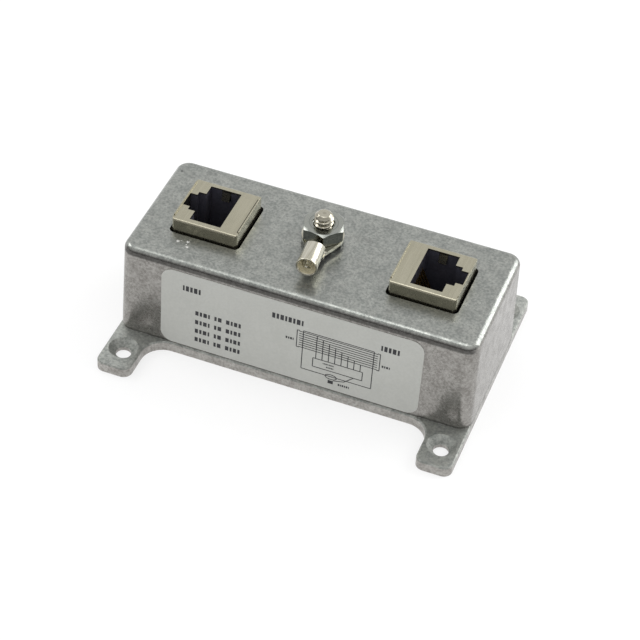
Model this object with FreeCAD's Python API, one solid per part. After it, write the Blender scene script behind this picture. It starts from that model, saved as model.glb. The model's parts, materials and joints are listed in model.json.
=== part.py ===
import FreeCAD, Part
import math
import os

# Ethernet surge protector: a die-cast box with four mounting ears, two shielded
# eight-way sockets in its top and a ground stud between them.
# Millimetres. The origin is on the base plane, under the middle of the box.
# +X runs along the box, +Y to its back and +Z up. The sockets face up.

# Cast box
body_length = 80.8
body_depth = 34.0
body_height = 25.4
draft_per_side = 0.55
corner_radius = 3.0
top_edge_radius = 1.6
wall = 2.2
top_wall = 2.4
cavity_corner_radius = 1.2

# Mounting ears and the low foot round the box
ear_width = 8.0
ear_reach = 12.1
ear_thickness = 2.4
ear_tip_radius = 2.0
ear_root_radius = 5.0
ear_edge_bevel = 0.3
foot_lip = 0.35
ear_hole_radius = 1.7
ear_sink_radius = 3.25
ear_hole_from_tip = 6.3
ear_hole_from_end = 4.0

# Base plate and its screws
plate_thickness = 1.5
plate_recess = 0.3
plate_rim = 1.1
plate_clearance = 0.15
plate_corner_radius = 1.8
post_radius = 3.0
post_overlap = 0.6
screw_radius = 1.5
screw_clearance = 0.2
thread_clearance = 0.05
sunk_head_radius = 3.0
base_screw_length = 9.0

# Sockets: X is the way from the contacts to the latch, Y is across the contacts
jack_from_end = 15.85
jack_length = 15.0
jack_width = 14.7
jack_stand_out = 3.3
jack_height = 16.6
jack_gap_x = 0.55
jack_gap_y = 0.5
cutout_radius = 1.2
sheet = 0.3
sheet_bend_radius = 0.8
face_bend_radius = 0.5
flap_rise = 0.25
slit_width = 0.25
slit_end_margin = 1.3
open_slit_side = -1
mouth_margin = 4.3
mouth_length = 7.06
mouth_width = 12.0
latch_step_length = 1.65
latch_step_width = 6.3
latch_slot_length = 1.6
latch_slot_width = 4.2
mouth_relief = 0.15
socket_depth = 12.4
moulding_clearance = 0.05
tab_width = 1.8
tab_bend_radius = 0.27
tab_drop = 2.7
tab_lean = 0.45
leg_width = 1.4
leg_spacing = 7.0
lead_stick_out = 1.0

# Contact springs
contact_count = 8
contact_pitch = 1.02
contact_width = 0.45
contact_thickness = 0.3
contact_bend_radius = 0.15
contact_inset = 1.0
contact_top_run = 1.7
contact_top_drop = 1.6
contact_reach = 2.3
contact_tip_drop = 9.4
contact_slot_width = 0.65
carrier_height = 4.6
carrier_ahead = 2.3
carrier_chamfer = 0.3

# Circuit board
board_thickness = 1.6
board_edge_gap = 1.0
board_corner_radius = 1.0
board_boss_radius = 2.6
board_boss_gap = 1.1
board_screw_from_edge = 2.6
board_screw_radius = 1.25
board_screw_length = 7.0
pan_head_radius = 2.2
pan_head_height = 1.6
notch_clearance = 0.5
hole_clearance = 0.15

# Surge parts: tubes on the board, diodes under it, each in two rows
tube_count = 4
tube_gap = 0.6
tube_radius = 2.5
tube_length = 7.5
tube_ring = 1.2
tube_ring_rise = 0.3
diode_count = 8
diode_gap = 0.4
diode_row_gap = 1.1
diode_width = 3.6
diode_body = 4.3
diode_lead = 0.5
diode_lead_width = 2.0
diode_height = 2.3
diode_draft = 0.25

# Ground stud, its strap, washer, ring terminal and nut
stud_x = -1.2
stud_y = 2.7
stud_radius = 2.08
stud_reach = 7.7
stud_tip_chamfer = 0.8
stud_hole_clearance = 0.2
stud_head_radius = 4.0
stud_head_height = 2.4
strap_thickness = 0.8
strap_width = 8.0
strap_foot_from_edge = 1.9
strap_bend_radius = 1.6
strap_tab_width = 3.0
washer_thickness = 0.5
washer_ring_radius = 3.5
washer_tooth_radius = 4.4
washer_teeth = 10
washer_tooth_width = 1.5
washer_tooth_twist = 25.0
terminal_thickness = 0.8
terminal_ring_radius = 4.6
terminal_hole_clearance = 0.07
terminal_seat_gap = 0.05
terminal_neck_angle = 52.0
terminal_neck_inset = 0.1
terminal_neck_start = 5.4
terminal_neck_straight = 0.6
terminal_barrel_start = 7.0
terminal_barrel_overlap = 0.4
terminal_reach = 13.1
terminal_turn = 4.8
barrel_radius = 2.2
barrel_bore = 1.6
nut_across_flats = 8.5
nut_thickness = 3.18
nut_clearance = 0.05
nut_seat_gap = 0.05
nut_chamfer_angle = 30.0
nut_bore_chamfer = 0.35
nut_corner_turn = -70.8

# Label on the front wall
label_thickness = 0.12
label_left_margin = 10.2
label_right_margin = 11.5
label_top_margin = 0.75
label_bottom_margin = 0.35
label_corner_radius = 2.8

# Values worked out from the sizes above
overcut = 1.0
cavity_top = body_height - top_wall
plate_seat = plate_recess + plate_thickness
jack_x = body_length / 2 - jack_from_end
face_z = body_height + jack_stand_out
board_top = face_z - jack_height
board_bottom = board_top - board_thickness
board_length = body_length - 2 * (draft_per_side + wall + board_edge_gap)
board_depth = body_depth - 2 * (draft_per_side + wall + board_edge_gap)
lead_bottom = board_bottom - lead_stick_out
strap_foot_y = board_depth / 2 - strap_foot_from_edge
moulding_top = face_z - sheet
ear_tip_y = body_depth / 2 + ear_reach
ear_hole_x = body_length / 2 - ear_hole_from_end
ear_hole_y = ear_tip_y - ear_hole_from_tip
mouth_start = mouth_margin - jack_length / 2
mouth_end = mouth_start + mouth_length
step_end = mouth_end + latch_step_length
slot_end = step_end + latch_slot_length
twist = math.radians(washer_tooth_twist)
washer_height = washer_tooth_width * math.sin(twist) + washer_thickness * math.cos(twist)
washer_bottom = body_height
terminal_bottom = washer_bottom + washer_height + terminal_seat_gap
nut_bottom = terminal_bottom + terminal_thickness + nut_seat_gap
stud_top = body_height + stud_reach
strap_top = cavity_top
head_top = strap_top - strap_thickness


def vector(x, y, z=0.0):
    return FreeCAD.Vector(x, y, z)


def draft_at(height):
    """How far each wall has leaned in at a height above the base."""
    return draft_per_side * height / body_height


def rounded_wire(corners, z=0.0):
    """A closed outline through (x, y, radius) corners, with tangent arcs."""
    count = len(corners)
    joints = []
    for index in range(count):
        x, y, radius = corners[index]
        here = vector(x, y, z)
        before = vector(corners[index - 1][0], corners[index - 1][1], z) - here
        after = vector(corners[(index + 1) % count][0], corners[(index + 1) % count][1], z) - here
        before.normalize()
        after.normalize()
        half_angle = before.getAngle(after) / 2
        if radius <= 0:
            joints.append((here, None, here))
            continue
        setback = radius / math.tan(half_angle)
        middle = before + after
        middle.normalize()
        to_middle = radius / math.sin(half_angle) - radius
        joints.append((here + before * setback, here + middle * to_middle, here + after * setback))
    edges = []
    for index in range(count):
        start, middle, end = joints[index]
        if middle is not None:
            edges.append(Part.Arc(start, middle, end).toShape())
        following = joints[(index + 1) % count][0]
        if end.distanceToPoint(following) > 1e-6:
            edges.append(Part.LineSegment(end, following).toShape())
    return Part.Wire(edges)


def prism(corners, bottom, top):
    """The outline through the corners, raised from bottom to top."""
    face = Part.Face(rounded_wire(corners, bottom))
    return face.extrude(vector(0, 0, top - bottom))


def rectangle(length, depth, radius=0.0, x=0.0, y=0.0):
    """Corners of a rectangle centred on x, y, anticlockwise."""
    return [
        (x - length / 2, y - depth / 2, radius),
        (x + length / 2, y - depth / 2, radius),
        (x + length / 2, y + depth / 2, radius),
        (x - length / 2, y + depth / 2, radius),
    ]


def cylinder(radius, bottom, top, x=0.0, y=0.0):
    return Part.makeCylinder(radius, top - bottom, vector(x, y, bottom))


def cone(radius_bottom, radius_top, bottom, top, x=0.0, y=0.0):
    return Part.makeCone(radius_bottom, radius_top, top - bottom, vector(x, y, bottom))


def box(x_range, y_range, z_range):
    corner = vector(x_range[0], y_range[0], z_range[0])
    size = [span[1] - span[0] for span in (x_range, y_range, z_range)]
    return Part.makeBox(size[0], size[1], size[2], corner)


def strip(points, radius, thickness, width_range):
    """A bent strip: an open (y, z) centreline, with its width over width_range in x."""
    sides = ([], [])
    last = len(points) - 1
    for index, (u, w) in enumerate(points):
        if index == 0:
            along = (points[1][0] - u, points[1][1] - w)
        elif index == last:
            along = (u - points[last - 1][0], w - points[last - 1][1])
        else:
            along = None
        if along is not None:
            length = math.hypot(*along)
            normal = (-along[1] / length, along[0] / length)
            reach = thickness / 2
            turn = 0.0
        else:
            back = (u - points[index - 1][0], w - points[index - 1][1])
            ahead = (points[index + 1][0] - u, points[index + 1][1] - w)
            back_length = math.hypot(*back)
            ahead_length = math.hypot(*ahead)
            n_back = (-back[1] / back_length, back[0] / back_length)
            n_ahead = (-ahead[1] / ahead_length, ahead[0] / ahead_length)
            normal = (n_back[0] + n_ahead[0], n_back[1] + n_ahead[1])
            size = math.hypot(*normal)
            normal = (normal[0] / size, normal[1] / size)
            reach = thickness / 2 / (normal[0] * n_back[0] + normal[1] * n_back[1])
            turn = back[0] * ahead[1] - back[1] * ahead[0]
        inner = radius - thickness / 2
        outer = radius + thickness / 2
        left = 0.0 if turn == 0 else (inner if turn > 0 else outer)
        right = 0.0 if turn == 0 else (outer if turn > 0 else inner)
        sides[0].append((u + normal[0] * reach, w + normal[1] * reach, left))
        sides[1].append((u - normal[0] * reach, w - normal[1] * reach, right))
    face = Part.Face(rounded_wire(sides[0] + sides[1][::-1]))
    solid = face.extrude(vector(0, 0, width_range[1] - width_range[0]))
    solid.translate(vector(0, 0, width_range[0]))
    return laid_along_x(solid)


def laid_along_x(solid):
    """Turns a solid drawn in XY and raised in Z, so that X, Y, Z become Y, Z, X."""
    solid.rotate(vector(0, 0, 0), vector(1, 1, 1), 120)
    return solid


def turned_copy(shape, degrees, x=0.0, y=0.0):
    copy = shape.copy()
    copy.rotate(vector(x, y, 0), vector(0, 0, 1), degrees)
    return copy


def group(shapes):
    return Part.makeCompound(shapes)


def clean(shape):
    return shape.removeSplitter()


def wall_block(inset, bottom, top, radius):
    """The drafted box form, moved in from its outer walls by inset."""
    low = draft_at(bottom) + inset
    high = draft_at(top) + inset
    low_x = body_length / 2 - low
    low_y = body_depth / 2 - low
    high_x = body_length / 2 - high
    high_y = body_depth / 2 - high
    block = Part.makeWedge(-low_x, bottom, -low_y, -high_y, -high_x, low_x, top, low_y, high_y, high_x)
    block.rotate(vector(0, 0, 0), vector(1, 0, 0), 90)
    corners = [edge for edge in block.Edges if edge.BoundBox.ZLength > (top - bottom) / 2]
    return block.makeFillet(radius, corners)


def foot_outline():
    """The foot and its four ears, with a concave root from each ear to the box."""
    end_x = body_length / 2
    inner_x = end_x - ear_width
    side_y = body_depth / 2 + foot_lip
    quarter = [
        (end_x, ear_tip_y, ear_tip_radius),
        (inner_x, ear_tip_y, ear_tip_radius),
        (inner_x, side_y, ear_root_radius),
    ]
    corners = []
    for x_sign, y_sign in ((1, 1), (-1, 1), (-1, -1), (1, -1)):
        part = [(x * x_sign, y * y_sign, radius) for x, y, radius in quarter]
        corners += part if x_sign * y_sign > 0 else part[::-1]
    return corners


def post_places():
    """Centres of the four corner posts, which merge into both walls."""
    x = body_length / 2 - draft_per_side - wall - post_radius + post_overlap
    y = body_depth / 2 - draft_per_side - wall - post_radius + post_overlap
    return [(x * sx, y * sy) for sx in (-1, 1) for sy in (-1, 1)]


def board_boss_places():
    """Centres of the two bosses that carry the board, across from each other."""
    y = board_depth / 2 - board_screw_from_edge
    x = jack_x - jack_length / 2 - board_boss_gap - board_boss_radius
    return [(x, y), (-x, -y)]


def board_boss(x, y):
    """A boss with a round inner side, which runs out into the long wall beside it."""
    post = cylinder(board_boss_radius, board_top, body_height, x, y)
    outer_y = math.copysign(body_depth / 2 - draft_per_side, y)
    across = (x - board_boss_radius, x + board_boss_radius)
    web = box(across, sorted((y, outer_y)), (board_top, body_height))
    return post.fuse(web)


def make_housing():
    outer = wall_block(0.0, 0.0, body_height, corner_radius)
    rim = [edge for edge in outer.Edges if abs(edge.CenterOfMass.z - body_height) < 1e-6]
    outer = outer.makeFillet(top_edge_radius, rim)
    foot = prism(foot_outline(), 0.0, ear_thickness)
    foot_rim = [edge for edge in foot.Edges if abs(edge.CenterOfMass.z - ear_thickness) < 1e-6]
    foot = foot.makeChamfer(ear_edge_bevel, foot_rim)
    casting = outer.fuse(foot)
    cavity = wall_block(wall, 0.0, cavity_top, cavity_corner_radius)
    posts = [cylinder(post_radius, plate_seat, body_height, x, y) for x, y in post_places()]
    bosses = [board_boss(x, y) for x, y in board_boss_places()]
    carriers = posts[0].multiFuse(posts[1:] + bosses)
    cavity = cavity.cut(carriers)
    tools = [cavity, plate_pocket()]
    hole_radius = screw_radius + thread_clearance
    hole_end = plate_recess + base_screw_length + overcut
    for x, y in post_places():
        tools.append(cylinder(hole_radius, plate_seat - overcut, hole_end, x, y))
    hole_radius = board_screw_radius + thread_clearance
    hole_end = board_bottom + board_screw_length + overcut
    for x, y in board_boss_places():
        tools.append(cylinder(hole_radius, board_top - overcut, hole_end, x, y))
    opening_length = jack_length + 2 * jack_gap_x
    opening_width = jack_width + 2 * jack_gap_y
    for side in (-1, 1):
        opening = rectangle(opening_length, opening_width, cutout_radius, side * jack_x)
        tools.append(prism(opening, cavity_top - overcut, body_height + overcut))
    tools.append(stud_hole(cavity_top, body_height))
    for sx in (-1, 1):
        for sy in (-1, 1):
            tools.append(ear_hole(sx * ear_hole_x, sy * ear_hole_y))
    return clean(casting.cut(tools))


def stud_hole(bottom, top):
    """The clear hole for the stud through a piece between two heights."""
    radius = stud_radius + stud_hole_clearance
    return cylinder(radius, bottom - overcut, top + overcut, stud_x, stud_y)


def plate_pocket():
    corners = rectangle(body_length - 2 * plate_rim, body_depth - 2 * plate_rim, plate_corner_radius)
    return prism(corners, -overcut, plate_seat)


def ear_hole(x, y):
    """A through hole with a ninety degree countersink."""
    sink_depth = ear_sink_radius - ear_hole_radius
    through = cylinder(ear_hole_radius, -overcut, ear_thickness + overcut, x, y)
    sink = cone(ear_hole_radius, ear_sink_radius, ear_thickness - sink_depth, ear_thickness, x, y)
    above = cylinder(ear_sink_radius, ear_thickness, ear_thickness + overcut, x, y)
    return through.fuse([sink, above])


def make_base_plate():
    length = body_length - 2 * plate_rim - 2 * plate_clearance
    depth = body_depth - 2 * plate_rim - 2 * plate_clearance
    outline = rectangle(length, depth, plate_corner_radius - plate_clearance)
    plate = prism(outline, plate_recess, plate_seat)
    rim = sunk_head_radius + screw_clearance
    low = plate_recess - overcut
    high = plate_seat + overcut
    tip = rim - plate_thickness - overcut
    sinks = [cone(rim + overcut, tip, low, high, x, y) for x, y in post_places()]
    return plate.cut(sinks)


def make_base_screws():
    """Countersunk screws that hold the plate up against the corner posts."""
    screws = []
    sink = sunk_head_radius - screw_radius
    for x, y in post_places():
        head = cone(sunk_head_radius, screw_radius, plate_recess, plate_recess + sink, x, y)
        shank = cylinder(screw_radius, plate_recess, plate_recess + base_screw_length, x, y)
        screws.append(head.fuse(shank))
    return group(screws)


def make_circuit_board():
    board = prism(rectangle(board_length, board_depth, board_corner_radius), board_bottom, board_top)
    z_range = (board_bottom - overcut, board_top + overcut)
    cuts = []
    for x, y in post_places():
        notch = post_radius + notch_clearance
        inner_x = x - math.copysign(notch, x)
        inner_y = y - math.copysign(notch, y)
        corner_x = math.copysign(body_length / 2, x)
        corner_y = math.copysign(body_depth / 2, y)
        cuts.append(cylinder(notch, z_range[0], z_range[1], x, y))
        cuts.append(box(sorted((x, corner_x)), sorted((inner_y, corner_y)), z_range))
        cuts.append(box(sorted((inner_x, corner_x)), sorted((y, corner_y)), z_range))
    for x, y in board_boss_places():
        cuts.append(cylinder(board_screw_radius + screw_clearance, z_range[0], z_range[1], x, y))
    for side in (-1, 1):
        for place in leg_places(side):
            cuts.append(leg_box(place, hole_clearance, z_range))
        for x, y in contact_places(side):
            half = contact_thickness / 2 + hole_clearance
            across = contact_width / 2 + hole_clearance
            cuts.append(box((x - half, x + half), (y - across, y + across), z_range))
    tab = strap_tab_width / 2 + hole_clearance
    thick = strap_thickness / 2 + hole_clearance
    tab_y = (strap_foot_y - thick, strap_foot_y + thick)
    cuts.append(box((stud_x - tab, stud_x + tab), tab_y, z_range))
    return board.cut(cuts)


def make_board_screws():
    """Pan-head screws from under the board into the bosses of the casting."""
    screws = []
    for x, y in board_boss_places():
        head = cylinder(pan_head_radius, board_bottom - pan_head_height, board_bottom, x, y)
        shank = cylinder(board_screw_radius, board_bottom, board_bottom + board_screw_length, x, y)
        screws.append(head.fuse(shank))
    return group(screws)


def mouth_corners(grow=0.0):
    """The stepped plug opening, from its contact side to the end of its latch slot."""
    half_mouth = mouth_width / 2 + grow
    half_step = latch_step_width / 2 + grow
    half_slot = latch_slot_width / 2 + grow
    side = [
        (mouth_start - grow, half_mouth),
        (mouth_end + grow, half_mouth),
        (mouth_end + grow, half_step),
        (step_end + grow, half_step),
        (step_end + grow, half_slot),
        (slot_end + grow, half_slot),
    ]
    mirrored = [(x, -y) for x, y in side[::-1]]
    return [(x, y, 0.0) for x, y in side + mirrored]


def leg_places(side):
    """Middles of the four shield legs, two on each face across the contacts."""
    y = jack_width / 2 - sheet / 2
    return [(side * jack_x + step * leg_spacing / 2, across * y) for step in (-1, 1) for across in (-1, 1)]


def leg_box(place, grow, z_range):
    x, y = place
    half_wide = leg_width / 2 + grow
    half_thick = sheet / 2 + grow
    return box((x - half_wide, x + half_wide), (y - half_thick, y + half_thick), z_range)


def make_shield(side):
    """A folded shield: face, two bent walls and two end flaps, one of them standing open."""
    block = prism(rectangle(jack_length, jack_width, sheet_bend_radius), board_top, face_z)
    half_width = jack_width / 2
    section = [
        (-half_width, board_top, 0.0),
        (half_width, board_top, 0.0),
        (half_width, face_z, face_bend_radius),
        (-half_width, face_z, face_bend_radius),
    ]
    block = block.common(laid_along_x(prism(section, -jack_length, jack_length)))
    inner_radius = sheet_bend_radius - sheet
    hollow = prism(rectangle(jack_length - 2 * sheet, jack_width - 2 * sheet, inner_radius),
                   board_top - overcut, face_z - sheet)
    shield = block.cut(hollow)
    shield = shield.cut(prism(mouth_corners(), face_z - sheet - overcut, face_z + overcut))
    flap_half = jack_width / 2 - slit_end_margin
    for end in (-1, 1):
        flap_inner = end * (jack_length / 2 - sheet)
        flap_outer = end * jack_length / 2
        across = (-flap_half, flap_half)
        if end < 0 and side == open_slit_side:
            slit_inner = flap_inner - end * slit_width
            slit_z = (face_z - sheet - overcut / 2, face_z + overcut)
            shield = shield.cut(box(sorted((slit_inner, flap_inner)), across, slit_z))
        lip_z = (face_z - sheet, face_z + flap_rise)
        shield = shield.fuse(box(sorted((flap_inner, flap_outer)), across, lip_z))
    for across in (-1, 1):
        shield = shield.fuse(spring_tab(across))
    for x, y in leg_places(0):
        shield = shield.fuse(leg_box((x, y), 0.0, (lead_bottom, board_top + sheet)))
    shield = clean(shield)
    return place_jack(shield, side)


def spring_tab(across):
    """A tongue bent down and in from the middle of one side of the mouth."""
    edge = mouth_width / 2
    middle = (mouth_start + mouth_end) / 2
    points = [
        (across * (edge + sheet / 2), face_z - sheet),
        (across * (edge + sheet / 2), face_z - 2 * sheet),
        (across * (edge - tab_lean), face_z - tab_drop),
    ]
    return strip(points, tab_bend_radius, sheet, (middle - tab_width / 2, middle + tab_width / 2))


def place_jack(shape, side):
    """Moves a socket piece to its side, contacts towards the stud."""
    if side < 0:
        shape = turned_copy(shape, 180)
    shape.translate(vector(side * jack_x, 0))
    return shape


def contact_rows():
    """Places across the socket of its contact springs."""
    first = -(contact_count - 1) / 2 * contact_pitch
    return [first + index * contact_pitch for index in range(contact_count)]


def contact_leg_x():
    """Where the upright leg of each spring stands, from the middle of the socket."""
    return -jack_length / 2 + sheet + contact_inset


def contact_places(side):
    return [(side * (jack_x + contact_leg_x()), side * y) for y in contact_rows()]


def make_insulator(side):
    """The moulding with the stepped plug cavity and a comb for the springs."""
    fit = sheet + moulding_clearance
    outline = rectangle(jack_length - 2 * fit, jack_width - 2 * fit, sheet_bend_radius - sheet)
    block = prism(outline, board_top, moulding_top)
    socket_floor = face_z - socket_depth
    cuts = [prism(mouth_corners(mouth_relief), socket_floor, face_z + overcut)]
    leg_x = contact_leg_x()
    half = contact_slot_width / 2
    slot_x = (leg_x - contact_thickness, mouth_start + overcut)
    slot_z = (socket_floor, face_z - contact_top_drop + contact_thickness)
    leg_slot_x = (leg_x - contact_thickness, leg_x + contact_thickness)
    leg_slot_z = (board_top, socket_floor + overcut)
    for y in contact_rows():
        cuts.append(box(slot_x, (y - half, y + half), slot_z))
        cuts.append(box(leg_slot_x, (y - half, y + half), leg_slot_z))
    pocket_half = carrier_half_width() + moulding_clearance
    pocket_x = (-jack_length, leg_x + carrier_ahead + moulding_clearance)
    pocket_z = (board_top - overcut, board_top + carrier_height + moulding_clearance)
    cuts.append(box(pocket_x, (-pocket_half, pocket_half), pocket_z))
    middle = (mouth_start + mouth_end) / 2
    tab_half = tab_width / 2 + mouth_relief
    tab_z = (face_z - tab_drop - sheet, face_z + overcut)
    for across in (-1, 1):
        inner = across * (mouth_width / 2 - overcut)
        outer = across * (mouth_width / 2 + sheet + mouth_relief)
        cuts.append(box((middle - tab_half, middle + tab_half), sorted((inner, outer)), tab_z))
    return place_jack(block.cut(cuts), side)


def carrier_half_width():
    return contact_count * contact_pitch / 2


def make_carrier(side):
    """The moulded block that holds the eight springs in line above the board."""
    leg_x = contact_leg_x()
    start = -jack_length / 2 + sheet + moulding_clearance
    half = carrier_half_width()
    top = board_top + carrier_height
    block = box((start, leg_x + carrier_ahead), (-half, half), (board_top, top))
    upper = [edge for edge in block.Edges if abs(edge.CenterOfMass.z - top) < 1e-6]
    block = block.makeChamfer(carrier_chamfer, upper)
    across = contact_width / 2 + moulding_clearance
    thick = contact_thickness / 2 + moulding_clearance
    cuts = []
    for y in contact_rows():
        slot_y = (y - across, y + across)
        cuts.append(box((leg_x - thick, leg_x + thick), slot_y, (board_top - overcut, top + overcut)))
    return place_jack(block.cut(cuts), side)


def make_contact(side, index):
    """A hairpin spring: leg up from the board, bend, and slope down into the socket."""
    leg_x = contact_leg_x()
    top = face_z - contact_top_drop - contact_thickness / 2
    points = [
        (leg_x, lead_bottom),
        (leg_x, top),
        (leg_x + contact_top_run, top),
        (mouth_start + contact_reach, face_z - contact_tip_drop),
    ]
    y = contact_rows()[index]
    width_range = (-y - contact_width / 2, -y + contact_width / 2)
    spring = strip(points, contact_bend_radius, contact_thickness, width_range)
    return place_jack(turned_copy(spring, -90), side)


def make_gas_tube(index):
    """A three-electrode tube: a round body with a metal ring about its middle."""
    across = vector(0, 1, 0)
    body = Part.makeCylinder(tube_radius, tube_length, vector(0, -tube_length / 2, 0), across)
    ring_radius = tube_radius + tube_ring_rise
    ring = Part.makeCylinder(ring_radius, tube_ring, vector(0, -tube_ring / 2, 0), across)
    flat_z = (-2 * ring_radius, -tube_radius)
    ring = ring.cut(box((-ring_radius, ring_radius), (-tube_ring, tube_ring), flat_z))
    tube = clean(body.fuse(ring))
    x, y = two_row_place(index, tube_count, 2 * ring_radius + tube_gap, tube_length + tube_gap)
    tube.translate(vector(x, y, board_top + tube_radius))
    return tube


def two_row_place(index, count, column_pitch, row_pitch):
    """Where a piece of a pattern in two rows stands, about the middle of the board."""
    columns = count // 2
    x = (index % columns - (columns - 1) / 2) * column_pitch
    y = (index // columns - 0.5) * row_pitch
    return x, y


def make_diode(index):
    """A moulded two-terminal clamp under the board, with a folded lead at each end."""
    middle = board_bottom - diode_height / 2
    high = board_bottom - diode_lead / 2
    low = board_bottom - diode_height
    wires = []
    for height, shrink in ((low, diode_draft), (middle, 0.0), (high, diode_draft)):
        corners = rectangle(diode_width - 2 * shrink, diode_body - 2 * shrink)
        wires.append(rounded_wire(corners, height))
    body = Part.makeLoft(wires, True, True)
    half = diode_lead_width / 2
    for end in (-1, 1):
        outer = end * (diode_body / 2 + diode_lead)
        inner = end * (diode_body / 2 - 2 * diode_lead)
        body = body.fuse(box((-half, half), sorted((inner, outer)), (high, board_bottom)))
        shoulder = end * (diode_body / 2 - diode_draft)
        body = body.fuse(box((-half, half), sorted((shoulder, outer)), (middle, board_bottom)))
    row_pitch = diode_body + 2 * diode_lead + diode_row_gap
    x, y = two_row_place(index, diode_count, diode_width + diode_gap, row_pitch)
    body.translate(vector(x, y))
    return body


def make_ground_stud():
    """A screw put in from inside: head under the strap, plain shank at thread size."""
    head = cylinder(stud_head_radius, head_top - stud_head_height, head_top, stud_x, stud_y)
    shank_top = stud_top - stud_tip_chamfer
    shank = cylinder(stud_radius, head_top, shank_top, stud_x, stud_y)
    tip = cone(stud_radius, stud_radius - stud_tip_chamfer, shank_top, stud_top, stud_x, stud_y)
    return clean(head.fuse([shank, tip]))


def make_ground_strap():
    """Bent strap from under the stud's head down to its soldered tab in the board."""
    middle_z = strap_top - strap_thickness / 2
    points = [
        (stud_y - strap_width / 2, middle_z),
        (strap_foot_y, middle_z),
        (strap_foot_y, lead_bottom),
    ]
    half = strap_width / 2
    strap = strip(points, strap_bend_radius, strap_thickness, (stud_x - half, stud_x + half))
    cuts = [stud_hole(head_top, strap_top)]
    foot_y = (strap_foot_y - overcut, strap_foot_y + overcut)
    for end in (-1, 1):
        side_x = sorted((stud_x + end * strap_tab_width / 2, stud_x + end * strap_width))
        cuts.append(box(side_x, foot_y, (0, board_top)))
    return strap.cut(cuts)


def make_lock_washer():
    """A washer with twisted outer teeth that bite the casting and the terminal."""
    middle = washer_bottom + washer_height / 2
    half = washer_thickness / 2
    ring = cylinder(washer_ring_radius, middle - half, middle + half, stud_x, stud_y)
    inner = washer_ring_radius - half
    across = (-washer_tooth_width / 2, washer_tooth_width / 2)
    teeth = []
    for index in range(washer_teeth):
        tooth = box((inner, washer_tooth_radius), across, (-half, half))
        tooth.rotate(vector(0, 0, 0), vector(1, 0, 0), washer_tooth_twist)
        tooth.translate(vector(0, 0, middle))
        tooth.rotate(vector(0, 0, 0), vector(0, 0, 1), index * 360.0 / washer_teeth)
        tooth.translate(vector(stud_x, stud_y))
        teeth.append(tooth)
    return ring.fuse(teeth).cut(stud_hole(washer_bottom, washer_bottom + washer_height))


def make_ring_terminal():
    """A crimp terminal: ring tongue, tapering neck and an open wire barrel."""
    ring = cylinder(terminal_ring_radius, 0, terminal_thickness)
    angle = math.radians(terminal_neck_angle)
    root_x = terminal_ring_radius * math.cos(angle)
    root_y = -terminal_ring_radius * math.sin(angle)
    neck_x = barrel_radius - terminal_neck_inset
    neck_y = -terminal_neck_start - terminal_neck_straight
    end_y = -terminal_barrel_start - terminal_barrel_overlap
    side = [(root_x, root_y), (neck_x, neck_y), (neck_x, end_y)]
    mirrored = [(-x, y) for x, y in side[::-1]]
    neck = prism([(x, y, 0.0) for x, y in side + mirrored], 0, terminal_thickness)
    tongue = ring.fuse(neck)
    forward = vector(0, -1, 0)
    start = vector(0, -terminal_neck_start, barrel_radius)
    tube = Part.makeCylinder(barrel_radius, terminal_reach - terminal_neck_start, start, forward)
    bore = Part.makeCylinder(barrel_bore, terminal_reach, start, forward)
    # The tube's rear is cut to a slope that rises from the tongue to its top.
    rear = [
        (overcut, terminal_thickness, 0.0),
        (overcut, 2 * barrel_radius + overcut, 0.0),
        (-terminal_barrel_start, 2 * barrel_radius, 0.0),
        (-terminal_neck_start, terminal_thickness, 0.0),
    ]
    slope = laid_along_x(prism(rear, -2 * barrel_radius, 2 * barrel_radius))
    terminal = tongue.fuse(tube.cut(slope)).cut(bore)
    hole = cylinder(stud_radius + terminal_hole_clearance, -overcut, terminal_thickness + overcut)
    terminal = clean(terminal.cut(hole))
    terminal.rotate(vector(0, 0, 0), vector(0, 0, 1), terminal_turn)
    terminal.translate(vector(stud_x, stud_y, terminal_bottom))
    return terminal


def make_ground_nut():
    """A hexagon nut with both ends chamfered."""
    corner = nut_across_flats / math.sqrt(3)
    points = []
    for index in range(6):
        angle = math.radians(nut_corner_turn + 60 * index)
        points.append((corner * math.cos(angle), corner * math.sin(angle), 0.0))
    hexagon = prism(points, 0, nut_thickness)
    flat = nut_across_flats / 2
    rise = nut_thickness / 2
    spread = flat + rise / math.tan(math.radians(nut_chamfer_angle))
    upper = cone(spread, flat, rise, nut_thickness)
    lower = cone(flat, spread, 0, rise)
    nut = hexagon.common(upper.fuse(lower))
    bore = stud_radius + nut_clearance
    mouth = bore + nut_bore_chamfer
    cuts = [
        cylinder(bore, -overcut, nut_thickness + overcut),
        cone(bore, mouth, nut_thickness - nut_bore_chamfer, nut_thickness),
    ]
    nut = nut.cut(cuts)
    nut.translate(vector(stud_x, stud_y, nut_bottom))
    return nut


def make_label():
    """A thin plate with round corners, flat on the leaning front wall."""
    lean = math.degrees(math.atan2(draft_per_side, body_height))
    left = -body_length / 2 + label_left_margin
    right = body_length / 2 - label_right_margin
    bottom = ear_thickness + label_bottom_margin
    top = body_height - top_edge_radius - label_top_margin
    middle_x = (left + right) / 2
    middle_z = (bottom + top) / 2
    corners = rectangle(right - left, top - bottom, label_corner_radius, middle_x, middle_z)
    label = prism(corners, 0, label_thickness)
    label.rotate(vector(0, 0, 0), vector(1, 0, 0), 90)
    label.rotate(vector(0, 0, 0), vector(1, 0, 0), -lean)
    label.translate(vector(0, -body_depth / 2, 0))
    return label


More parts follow.
